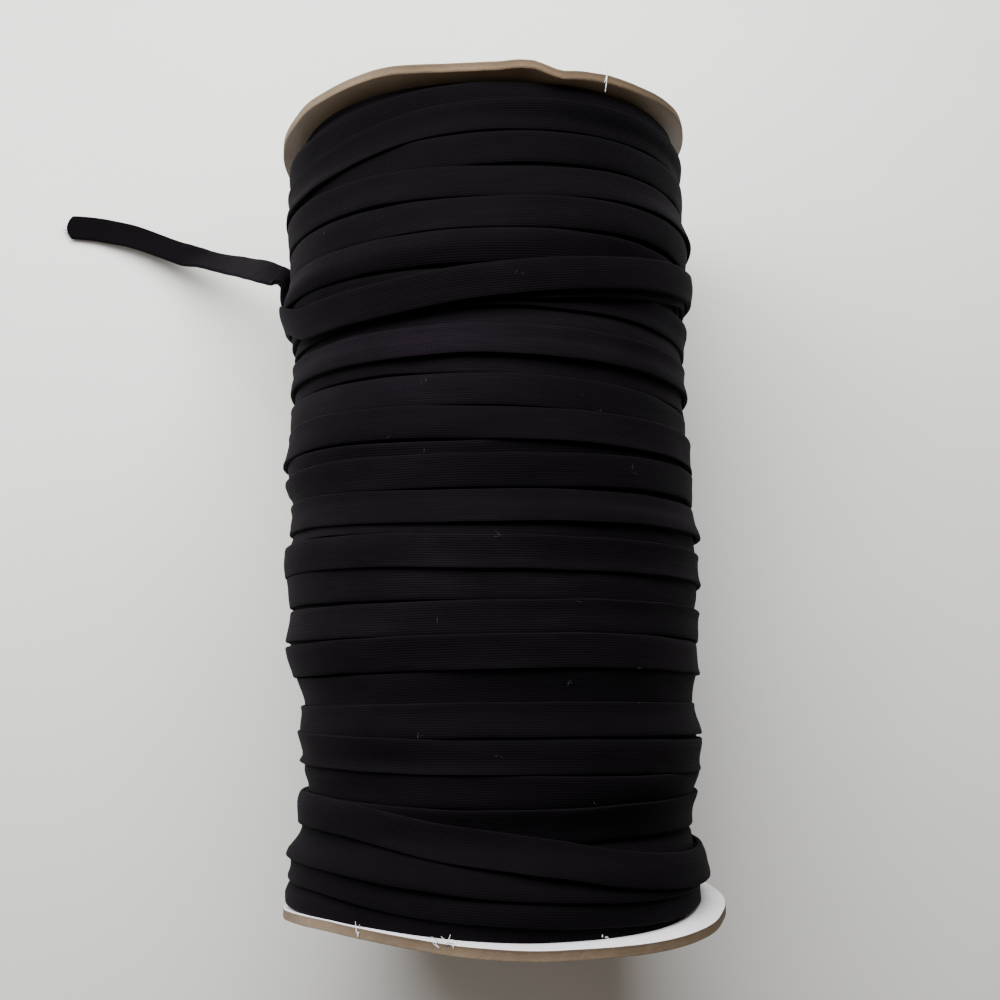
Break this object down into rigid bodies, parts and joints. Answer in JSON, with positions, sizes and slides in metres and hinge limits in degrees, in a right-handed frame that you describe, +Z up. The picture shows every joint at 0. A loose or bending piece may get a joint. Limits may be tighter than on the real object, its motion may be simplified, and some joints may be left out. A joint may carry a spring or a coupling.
{
  "type": "reel of elastic",
  "caption": "Flat braided elastic wound on a reel with round card flanges, lying on its side, with the tape's free end loose on the surface.",
  "frame": {"origin": "on the surface that the reel lies on, under the reel's middle; the free end of the tape isn't counted", "axes": "+Z up, +Y along the reel's axis towards the far flange, +X to the right, away from the free end of the tape"},
  "size_m": [0.156, 0.1731, 0.0897],
  "materials": {
    "elastic": "matte",
    "card": "matte"
  },
  "bodies": {
    "root": {"winding": "elastic", "far_disc": "card", "near_disc": "card", "loose_end": "elastic"}
  },
  "joints": []
}
